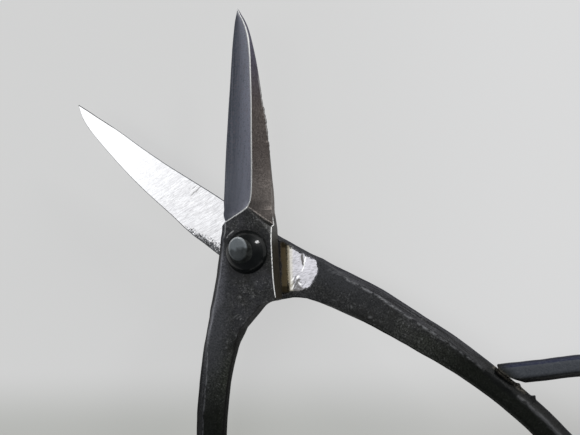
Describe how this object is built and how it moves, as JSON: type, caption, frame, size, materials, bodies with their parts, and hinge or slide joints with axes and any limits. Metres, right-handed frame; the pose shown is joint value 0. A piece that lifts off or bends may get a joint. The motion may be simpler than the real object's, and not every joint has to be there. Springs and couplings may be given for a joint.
{
  "type": "forged trimming shears",
  "caption": "Hand-forged black-scaled trimming shears with plain bevelled blades, a riveted pivot under a domed washer, long slim shanks and large teardrop bow handles.",
  "frame": {"origin": "on the pivot axis, on the flat end of the lower rivet head that the shears rest on", "axes": "+Z along the pivot axis towards the upper (front) lever, +Y from the pivot along the front blade, +X towards the side that the rear lever's handle opens to"},
  "size_m": [0.1708, 0.2055, 0.0195],
  "materials": {
    "forged_steel": "black forge scale, worn along the edges; blade faces ground and polished",
    "rivet_steel": "peened end, darkened",
    "blued_steel": "glossy blue-black"
  },
  "bodies": {
    "front": {"front_lever": "forged_steel", "pivot_rivet": "rivet_steel", "front_washer": "blued_steel", "rear_washer": "blued_steel"},
    "rear": {"rear_lever": "forged_steel"}
  },
  "joints": [
    {"name": "pivot", "type": "hinge", "parent": "front", "child": "rear", "pos_m": [0, 0, 0.009], "axis": [0, 0, 1], "range_deg": [-47.8, 25]}
  ]
}
